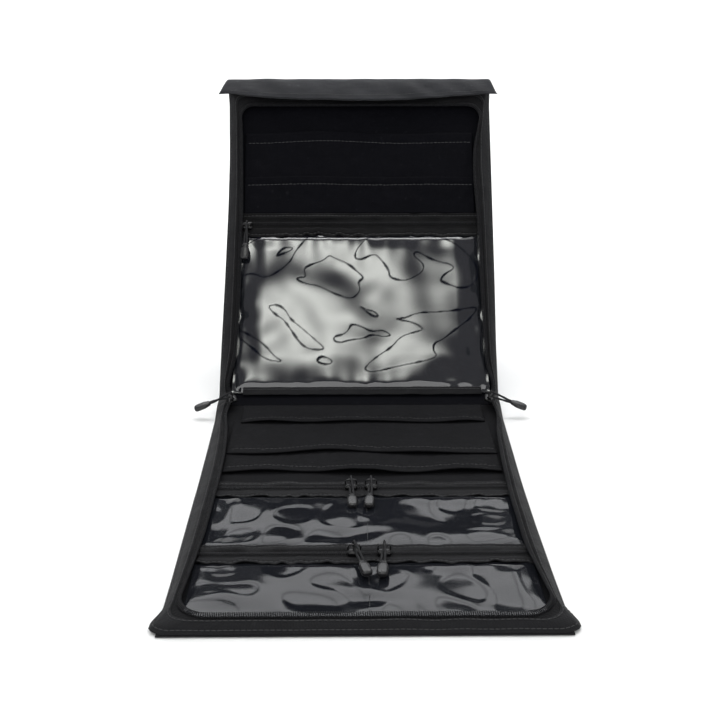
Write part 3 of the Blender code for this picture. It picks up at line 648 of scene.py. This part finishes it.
# Zip bands: straight zips of the inner pockets. Each is a tape folded along both edges, sewn to
# the cloth above and to the clear sheet below, with a coil down its middle between two stitch rows.
LOWER_BAND_TONES = (0.007, 0.007, 0.0078), (0.017, 0.017, 0.0185)
UPPER_BAND_TONES = (0.0020, 0.0020, 0.0024), (0.0050, 0.0050, 0.0056)
BANDS = (("lower_zip_a", -1, 0.1200, 0.1415, 0.1285, "lower_half", LOWER_BAND_TONES),
         ("lower_zip_b", -1, 0.2085, 0.2300, 0.2190, "lower_half", LOWER_BAND_TONES),
         ("upper_zip", 1, 0.1450, 0.1665, 0.1570, "upper_half", UPPER_BAND_TONES))
for label, half, near, far, middle, body, tones in BANDS:
    cloth = woven(label + "_band_cloth", *tones, pitch=0.0012, depth=0.00016, roughness=0.75)
    x = np.linspace(-0.1072, 0.1072, 151)[None, :]
    v = np.linspace(near, far, 44)[:, None]
    x, v = np.broadcast_arrays(x, v)
    edge_wave = 0.0008 * ripple(x, 0 * x, 0.020, 81 + len(label)) + 0.0006 * ripple(x, 0 * x, 0.009, 82)
    shift = (v - near) / (far - near)
    drawn = v + edge_wave * (shift ** 3 if half < 0 else (1 - shift) ** 3)
    apart = step(np.abs(v - middle), 0.0038, 0.0058)
    seams = np.exp(-((v - near - 0.0022) / 0.0007) ** 2) + np.exp(-((v - far + 0.0022) / 0.0007) ** 2)
    w = 0.0043 + apart * (0.0012 + 0.0003 * ripple(x, v, 0.022, 83, stretch=1.3)) - 0.00050 * seams
    w = w + 0.0006 * apart * np.sin(pi * np.clip(shift, 0, 1)) * ripple(x, 0 * x, 0.06, 84)
    g = half * (SPINE / 2 + drawn)
    rows = bag(x, g, w)
    band = shell(label + "_band", rows[::half], cloth, 0.0008)
    face, normal = upper_face(rows)
    picks = [int(round(p * 43)) for p in (0.10, 0.90)]
    sewing = stitches(label + "_stitching", [(face[k], normal[k]) for k in picks])
    line = bag(x[0], half * (SPINE / 2 + middle) + 0 * x[0], 0.0062)
    up = np.broadcast_to(bag(0, half * 0.1, 0.01) - bag(0, half * 0.1, 0.0), line.shape)
    teeth = coil(label + "_coil_teeth", line, up, coil_nylon, width=0.0013, height=0.0006, wire=0.00030)
    for piece, slot in ((band, "zip_tape"), (sewing, "zip_tape"), (teeth, "zip_coil")):
        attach(piece, body)
    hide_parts(label + "_tape")
    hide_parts(label + "_coil")
    sheet(rows, [body.split("_")[0] + "_lining_cloth"])

# Clear windows: soft glossy sheets sewn in round all four sides. They buckle between the seams,
# cling to the lining in patches with a dark outline, and rise towards the seams.
def film_finish(name, coat, index, dull, tint):
    """Clear film: a dark see-through body under a glossy skin that is dull where it clings."""
    film = Finish(name, Specular_IOR_Level=0.0, Coat_Roughness=dull, Coat_IOR=index)
    place = film.coordinate("Object")
    cling = film.node("Attribute", {"attribute_name": "cling"}, {}, "Fac")
    smear = film.noise(place, 22.0, 3.0)
    film.feed(Base_Color=film.mix(cling, tint, (0.0035, 0.0045, 0.009, 1)),
              Roughness=smear * 0.10 + 0.3,
              Coat_Weight=coat - cling * coat,
              Alpha=smear * 0.10 + cling * 0.1 + 0.78)
    film.bump(film.noise(place, 60.0, 2.0), 0.00020)
    return film


upper_film = film_finish("upper_clear_film", 1.0, 1.9, 0.05, (0.010, 0.011, 0.014, 1))
lower_film = film_finish("lower_clear_film", 1.0, 1.5, 0.10, (0.010, 0.011, 0.014, 1))
PATCHES = (
    ((-50, 114), (-43, 118), (-32, 122), (-27, 127), (-22, 124), (-10, 119), (-3, 112), (4, 106), (-2, 102),
     (1, 94), (-7, 86), (-15, 88), (-27, 93), (-36, 98), (-49, 100), (-56, 104), (-53, 106), (-47, 106)),
    ((11, 146), (-2, 134), (-5, 124), (1, 122), (13, 128), (19, 122), (26, 112), (26, 106), (34, 103), (42, 103),
     (53, 109), (57, 114), (55, 120), (48, 125), (48, 129), (53, 129), (59, 125), (70, 120), (80, 118), (84, 114),
     (75, 109), (70, 103), (76, 100), (91, 94), (104, 103), (104, 120), (80, 142), (52, 147), (28, 149)),
    ((-80, 80), (-71, 81), (-65, 76), (-61, 68), (-51, 60), (-41, 51), (-30, 41), (-36, 40), (-46, 41), (-54, 48),
     (-60, 58), (-67, 68), (-73, 71), (-79, 77)),
    ((-8, 63), (-1, 62), (10, 56), (19, 58), (28, 53), (20, 52), (10, 54), (2, 50), (-10, 49), (-17, 46), (-23, 48),
     (-23, 52), (-14, 54), (-10, 58)),
    ((30, 68), (41, 69), (48, 73), (67, 74), (87, 76), (104, 80), (98, 70), (83, 58), (72, 49), (64, 46), (63, 39),
     (67, 34), (57, 30), (34, 26), (15, 21), (5, 21), (4, 25), (14, 34), (28, 43), (35, 52), (48, 56), (56, 58),
     (48, 64), (36, 67)),
    ((-40, 149), (-51, 138), (-58, 129), (-61, 121), (-71, 112), (-84, 105), (-95, 111), (-106, 107), (-108, 121),
     (-102, 138), (-79, 147), (-60, 149)),
    ((-74, 127), (-68, 134), (-58, 134), (-63, 130), (-72, 127)),
    ((-38, 31), (-33, 35), (-23, 30), (-27, 27), (-35, 28)),
    ((-1, 80), (6, 76), (12, 75), (17, 70), (11, 70), (5, 75)),
    ((-107, 53), (-94, 43), (-83, 32), (-66, 29), (-75, 35), (-83, 45), (-94, 53), (-108, 60)))


def outline_distance(x, v, outline):
    """Distance in metres to a closed smooth outline given in millimetres, negative inside."""
    knots = np.array(outline, float) / 1000
    for _ in range(2):
        nxt = np.roll(knots, -1, 0)
        knots = np.stack([0.75 * knots + 0.25 * nxt, 0.25 * knots + 0.75 * nxt], 1).reshape(-1, 2)
    distance = np.full(x.shape, 9.0)
    inside = np.zeros(x.shape, bool)
    for (x0, v0), (x1, v1) in zip(knots, np.roll(knots, -1, 0)):
        dx, dv = x1 - x0, v1 - v0
        t = np.clip(((x - x0) * dx + (v - v0) * dv) / (dx * dx + dv * dv + 1e-15), 0, 1)
        distance = np.minimum(distance, np.hypot(x - x0 - t * dx, v - v0 - t * dv))
        inside ^= ((v0 > v) != (v1 > v)) & (x < x0 + (v - v0) * dx / (dv if dv else 1e-12))
    return np.where(inside, -distance, distance)


def window(name, node, half, near, far, left, right, body, swell, seed, film, pitch,
           rough=1.0, crimp=1.0, patches=(), random_patches=0.0, seam=None):
    """A clear sheet with long swells, buckled seams, a pinched middle seam and clinging patches."""
    v = np.linspace(near, far, int((far - near) / pitch))[:, None]
    u = np.linspace(0, 1, int(0.215 / pitch))[None, :]
    x = left(v) + (right(v) - left(v)) * u
    v = v + 0 * u
    rim = np.minimum(np.minimum(x - left(v), right(v) - x), np.minimum(v - near, far - v))
    free = step(rim, 0.0, 0.016)
    low_rim = np.abs(v - (near if half > 0 else far))
    hump = step(np.minimum(x - left(v), right(v) - x), 0.0, 0.024) * step(low_rim, 0.0, 0.036)
    w = 0.0045 + (swell * hump + 0.0005) * step(rim, 0.0, 0.006)
    w = w + rough * (0.0006 * free * ripple(x, v, 0.070, seed)
                     + 0.00012 * free * ripple(x, v, 0.030, seed + 1))
    seam_buckle = np.exp(-np.minimum(v - near, far - v) / 0.010) * step(rim, 0, 0.004)
    w = w + 0.0005 * crimp * seam_buckle * ripple(x, 0 * x, 0.018, seed + 2)
    side_buckle = np.exp(-np.minimum(x - left(v), right(v) - x) / 0.008) * step(rim, 0, 0.004)
    w = w + 0.0006 * crimp * side_buckle * ripple(v, 0 * v, 0.022, seed + 3)
    if seam is not None:
        calm = np.exp(-((x - seam) / 0.015) ** 2)
        w = w * (1 - 0.85 * calm) + 0.0049 * 0.85 * calm
        w = w + 0.0003 * np.exp(-np.abs(x - seam) / 0.012) * ripple(v, 0.3 * x, 0.020, seed + 5) * free
    line = np.zeros_like(w)
    for n, patch in enumerate(patches):
        away = outline_distance(x, v, patch)
        breadth = 0.0006 * (1 + 0.7 * np.clip(ripple(x, v, 0.016, seed + 10 + n), -0.3, 2.0))
        line = np.maximum(line, np.exp(-(away / breadth) ** 4))
        w = w - 0.00007 * (1 - step(away, -0.003, 0.003)) * free
    if random_patches:
        field = ripple(x, v, 0.045, seed + 20)
        slope = np.hypot(*np.gradient(field, pitch)) + 20
        for level in (-0.55, 0.75):
            away = (field - level) / slope
            line = np.maximum(line, random_patches * np.exp(-(away / 0.0006) ** 4))
            w = w - 0.0003 * (1 - step(away * np.sign(-level), -0.002, 0.002)) * free
    g = half * (SPINE / 2 + v)
    rows = bag(x, g, w)
    pane = shell(name, rows[::half], film, 0.0004)
    attribute = pane.data.attributes.new("cling", "FLOAT", "POINT")
    values = np.clip(line, 0, 1)[::half].ravel()
    attribute.data.foreach_set("value", np.r_[values, values].astype(np.float32))
    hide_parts(node)
    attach(pane, body)
    sheet(rows, [body.split("_")[0] + "_lining_cloth"])


window("upper_clear_window", "upper_window", 1, 0.0015, 0.1465,
       lambda v: -np.interp(v, (0, 0.05, 0.146), (0.1120, 0.1075, 0.1050)),
       lambda v: np.interp(v, (0, 0.05, 0.146), (0.1125, 0.1090, 0.1070)),
       "upper_half", 0.0023, 101, upper_film, 0.0008, patches=PATCHES)
MIDDLE_SEAM_X = 0.0024
LOWER_WINDOWS = (("a", 0.1405, 0.2095, 0.0016, 1.4, 121), ("b", 0.2290, 0.2900, 0.0009, 1.1, 141))
for label, near, far, swell, rough, seed in LOWER_WINDOWS:
    window("lower_clear_window_" + label, "lower_window_" + label, -1, near, far,
           lambda v: -0.1080 + 0 * v, lambda v: 0.1078 + 0 * v, "lower_half", swell, seed,
           lower_film, 0.0010, rough=rough, crimp=0.4, random_patches=0.25, seam=MIDDLE_SEAM_X)
    v = np.linspace(near + 0.003, far - 0.003, 60)
    rows = bag(MIDDLE_SEAM_X + 0 * v, -SPINE / 2 - v, 0.0053)
    up = np.broadcast_to(np.array([0, 0, 1.0]), rows.shape)
    sewing = stitches("lower_window_" + label + "_middle_stitching", [(rows, up)],
                      pitch=0.0026, size=0.00022)
    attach(sewing, "lower_half")

# Binding: a folded strip of nylon over the large window's lower edge, sewn through all layers.
x = np.linspace(-0.1010, 0.1040, 121)[None, :]
v = np.linspace(-0.0015, 0.0072, 12)[:, None]
x, v = np.broadcast_arrays(x, v)
w = 0.0058 + 0.0009 * np.sin(pi * np.clip((v + 0.0015) / 0.0087, 0, 1)) + 0.00015 * ripple(x, v, 0.02, 91)
rows = bag(x, SPINE / 2 + v, w)
binding = shell("upper_window_binding_strip", rows, nylon, 0.0008)
face, normal = upper_face(rows)
sewing = stitches("upper_binding_stitching", [(face[8], normal[8])])
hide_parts("upper_window_binding")
for piece in (binding, sewing):
    fold(piece)
sheet(rows, ["upper_clear_window"])

# Sliders: cast zinc, black enamel. A saddle runs over the coil, wide at its nose where the two
# sides of the zip meet, and a bridge on its back holds the pull's loop.
enamel = Finish("black_enamel", Roughness=0.28, Metallic=0.6, Coat_Weight=0.3)
place = enamel.coordinate("Object")
rub = enamel.noise(place, 420.0, 3.0).between(0.60, 0.75)
enamel.feed(Base_Color=enamel.mix(rub, (0.006, 0.006, 0.007, 1), (0.022, 0.021, 0.020, 1)),
            Roughness=rub * 0.2 + enamel.noise(place, 150.0) * 0.15 + 0.22)
enamel.bump(enamel.noise(place, 1500.0), 0.00004)


def loft(name, rings, finish, rounds=1):
    """A closed body skinned over rings of equal length, with its ends filled, then smoothed."""
    rings = np.asarray(rings, float)
    count, sides = rings.shape[:2]
    made = mesh_object(name, rings.reshape(-1, 3), tube_faces(0, count, sides), finish)
    if rounds:
        smoothing = made.modifiers.new("smoothing", "SUBSURF")
        smoothing.levels = smoothing.render_levels = rounds
        settle(made)
    return made


def settle(made):
    """Applies an object's modifiers to its mesh."""
    evaluated = made.evaluated_get(bpy.context.evaluated_depsgraph_get())
    mesh = bpy.data.meshes.new_from_object(evaluated)
    made.modifiers.clear()
    made.data = mesh
    return made


def merge(name, parts):
    """Several bodies of one piece as one object."""
    with bpy.context.temp_override(active_object=parts[0], selected_editable_objects=parts):
        bpy.ops.object.join()
    parts[0].name = parts[0].data.name = name
    return parts[0]


def set_in(frame_matrix, made):
    made.data.transform(frame_matrix)
    return made


HINGES = {joint["name"]: Vector(joint["pos_m"]) for joint in frame["record"]["behaviour"]["joints"]
          if "pos_m" in joint}
BAR_HEIGHT = 0.0074
LIES = {"lower": Matrix(), "upper": Matrix.Rotation(UPPER_LEAN, 4, "X"),
        "main_left": Matrix.Rotation(SPINE_LEAN, 4, "X") @ Matrix.Rotation(radians(-78), 4, "Z")
        @ Matrix.Rotation(radians(22.5), 4, "X"),
        "main_right": Matrix.Rotation(SPINE_LEAN, 4, "X") @ Matrix.Rotation(radians(78), 4, "Z")
        @ Matrix.Rotation(radians(22.5), 4, "X")}
SLIDERS = {"zip_a_left": ("lower", 2.0, 8), "zip_a_right": ("lower", -4.0, 8), "zip_b_left": ("lower", 15.0, 5),
           "zip_b_right": ("lower", -4.0, 5), "upper_zip": ("upper", -3.0, 4), "main_left": ("main_left", 0.0, -4),
           "main_right": ("main_right", 0.0, -4)}


def slider_body(name):
    """The saddle and its bridge about the slider's own frame: x along the zip, z off the cloth."""
    rings = []
    for x, half, roof, drop in ((-0.0046, 0.0022, 0.0030, 0.0012), (-0.0043, 0.0029, 0.0036, 0.0004),
                                (-0.0030, 0.0033, 0.0039, 0.0003), (0.0, 0.0034, 0.0040, 0.0003),
                                (0.0022, 0.0037, 0.0040, 0.0003), (0.0038, 0.0036, 0.0037, 0.0004),
                                (0.0046, 0.0029, 0.0032, 0.0010)):
        channel = 0.0018
        outer = [(-half, drop), (-half, 0.55 * roof), (-half + 0.0004, 0.86 * roof), (-half + 0.0013, roof),
                 (0.0, roof + 0.0002), (half - 0.0013, roof), (half - 0.0004, 0.86 * roof), (half, 0.55 * roof),
                 (half, drop)]
        inner = [(channel + 0.0002, drop), (channel, 0.0021), (channel - 0.0003, 0.0025), (0.0, 0.0026),
                 (-channel + 0.0003, 0.0025), (-channel, 0.0021), (-channel - 0.0002, drop)]
        rings.append([(x, v, w) for v, w in outer + inner])
    saddle = loft(name, rings, enamel)
    rings = []
    arch = [(-0.0040, 0.0030, 0.0), (-0.0041, 0.0048, 8.0), (-0.0039, 0.0062, 28.0), (-0.0030, 0.0072, 62.0),
            (-0.0015, 0.0075, 84.0), (0.0, 0.0076, 90.0), (0.0015, 0.0075, 96.0), (0.0030, 0.0072, 118.0),
            (0.0039, 0.0062, 152.0), (0.0041, 0.0048, 172.0), (0.0040, 0.0030, 180.0)]
    for x, z, angle in arch:
        along = Vector((sin(radians(angle)), 0, cos(radians(angle))))
        out = Vector((-along.z, 0, along.x))
        rings.append([Vector((x, 0, z)) + out * (0.00058 * cos(a)) + Vector((0, 0.00098 * sin(a), 0))
                      for a in np.linspace(0, 2 * pi, 9)[:-1]])
    bridge = loft(name + "_bridge", rings, enamel)
    return merge(name, [saddle, bridge])


# Pulls: a loop of braided cord goes round the bridge, and both its ends are moulded into a
# smooth bullet-shaped plastic grip with a waist near the cord.
braid = Finish("braided_cord", Roughness=0.7, Specular_IOR_Level=0.25)
place = braid.coordinate("Object")
strands = braid.node("TexWave", {"wave_type": "BANDS", "bands_direction": "DIAGONAL"},
                     {"Vector": place, "Scale": 420.0, "Distortion": 1.0}, "Fac")
braid.feed(Base_Color=braid.mix(strands, (0.006, 0.006, 0.007, 1), (0.020, 0.020, 0.022, 1)),
           Roughness=strands * 0.2 + 0.6)
braid.bump(strands, 0.00018)
moulded = Finish("moulded_grip", Specular_IOR_Level=0.5)
place = moulded.coordinate("Object")
moulded.feed(Base_Color=moulded.mix(moulded.noise(place, 90.0), (0.006, 0.006, 0.007, 1), (0.013, 0.013, 0.014, 1)),
             Roughness=moulded.noise(place, 260.0, 3.0) * 0.22 + 0.18)
moulded.bump(moulded.noise(place, 2200.0), 0.00003)


def cord_tube(name, path, radius, finish, twist=900.0, sides=12):
    """A two-strand twisted cord along a path."""
    path = np.array(path, float)
    for _ in range(3):
        path = np.concatenate([path[:1], np.stack([0.75 * path[:-1] + 0.25 * path[1:],
                                                   0.25 * path[:-1] + 0.75 * path[1:]], 1).reshape(-1, 3), path[-1:]])
    along = path_frame(path)
    run = np.r_[0, np.cumsum(np.linalg.norm(np.diff(path, axis=0), axis=1))]
    across = np.array([1.0, 0, 0])
    rings = []
    for point, a, s in zip(path, along, run):
        u = np.cross(a, across)
        u /= np.linalg.norm(u)
        v = np.cross(u, a)
        rings.append([point + (radius * (0.9 + 0.1 * cos(2 * k * 2 * pi / sides + twist * s))) *
                      (cos(2 * pi * k / sides) * u + sin(2 * pi * k / sides) * v) for k in range(sides)])
    return loft(name, rings, finish, rounds=0)


CORD_LENGTH, CORD_RADIUS = 0.018, 0.00098
GRIP_HALF_WIDTH, GRIP_HALF_THICKNESS = 0.0037, 0.0024
for label, (lie, slant, dip) in SLIDERS.items():
    hinge = Matrix.Translation(HINGES[label + "_pull_swing"]) @ LIES[lie]
    body = slider_body(label + "_slider_body")
    set_in(hinge @ Matrix.Translation((0, 0, -BAR_HEIGHT)), body)
    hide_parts(label + "_slider")
    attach(body, "spine" if label.startswith("main") else label + "_slider")
    rake = hinge @ Matrix.Rotation(radians(slant), 4, "Z") @ Matrix.Rotation(radians(dip), 4, "X")
    spread, loop = 0.00105, 0.0021
    ends = [(spread, -CORD_LENGTH - 0.002, 0), (spread * 1.1, -CORD_LENGTH * 0.75, 0.0003),
            (spread * 0.8, -CORD_LENGTH * 0.45, 0.0012), (0.0003, -loop * 1.7, loop * 0.95)]
    path = ends + [(0, loop * cos(radians(a)), loop * sin(radians(a))) for a in range(105, -106, -30)]
    path += [(-x, y, -z) for x, y, z in ends[::-1]]
    cord = set_in(rake, cord_tube(label + "_pull_loop", path, CORD_RADIUS, braid))
    rings = []
    for run, wide, thick in ((0.0, 0.50, 0.60), (0.0004, 0.62, 0.74), (0.0016, 0.70, 0.84), (0.0030, 0.74, 0.88),
                             (0.0040, 0.90, 0.96), (0.0052, 0.98, 1.0), (0.0080, 1.0, 1.0), (0.0110, 1.0, 0.98),
                             (0.0126, 0.93, 0.90), (0.0135, 0.78, 0.72), (0.0139, 0.52, 0.50), (0.0140, 0.25, 0.25)):
        a, b = wide * GRIP_HALF_WIDTH, thick * GRIP_HALF_THICKNESS
        rings.append([(a * np.sign(cos(t)) * abs(cos(t)) ** 0.75, -CORD_LENGTH - 0.0003 - run,
                       b * np.sign(sin(t)) * abs(sin(t)) ** 0.75) for t in np.linspace(0, 2 * pi, 17)[:-1]])
    grip = set_in(rake, loft(label + "_pull_bullet", rings, moulded))
    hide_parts(label + "_pull_cord")
    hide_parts(label + "_pull_grip")
    for piece, slot in ((cord, "pull_cord"), (grip, "pull_grip")):
        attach(piece, label + "_pull")

# Hanging hook: webbing is doubled round the yoke's pin and sewn to the outer cloth behind the top
# edge. The yoke tilts in the webbing and the moulded hook turns in the yoke.
hook_plastic = Finish("hook_plastic", Specular_IOR_Level=0.5)
place = hook_plastic.coordinate("Object")
hook_plastic.feed(Base_Color=hook_plastic.mix(hook_plastic.noise(place, 70.0), (0.011, 0.011, 0.012, 1),
                                              (0.021, 0.021, 0.022, 1)),
                  Roughness=hook_plastic.noise(place, 200.0, 3.0) * 0.25 + 0.28)
hook_plastic.bump(hook_plastic.noise(place, 1800.0), 0.00004)
webbing = woven("webbing", (0.006, 0.006, 0.007), (0.014, 0.014, 0.0155), pitch=0.0014, depth=0.0003)
dress("hook", hook_plastic)
dress("hook_yoke", hook_plastic)
dress("upper_hang_loop", webbing)
